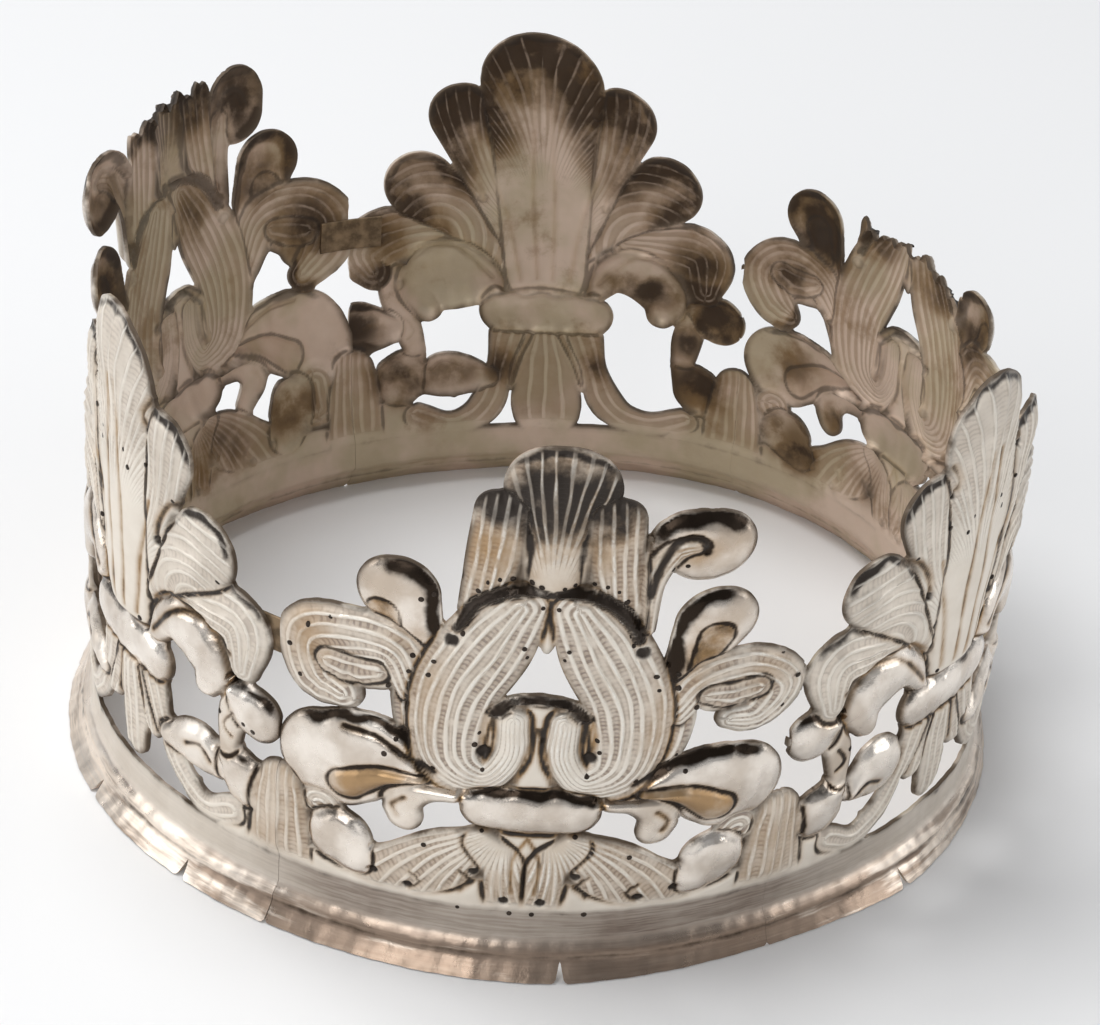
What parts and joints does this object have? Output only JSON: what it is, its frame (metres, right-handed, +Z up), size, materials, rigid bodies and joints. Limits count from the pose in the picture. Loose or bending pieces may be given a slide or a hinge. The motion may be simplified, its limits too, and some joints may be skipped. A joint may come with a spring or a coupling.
{
  "type": "statue crown",
  "caption": "Open silver crown for a church statue: pierced, chased sheets of low and tall leaf palmettes on a flared foot rim, with some lobes lost.",
  "frame": {"origin": "on the plane that the foot rim stands on, under the middle of the crown's box", "axes": "+Z up from the foot to the tips, the low palmette that faces the viewer in the picture is towards -Y, +X is to its right in the picture"},
  "size_m": [0.136, 0.1378, 0.0829],
  "materials": {
    "silver_sheet": "old silver, satin on the flutes and smooth on the lobes, toned yellow and brown, black along edges and grooves",
    "dark_strap": "dull silver strap, tarnished brown"
  },
  "bodies": {
    "root": {"sheet_front": "silver_sheet", "sheet_back": "silver_sheet", "sheet_left": "silver_sheet", "strap_left": "dark_strap", "strap_right": "dark_strap", "strap_back": "dark_strap"}
  },
  "joints": []
}
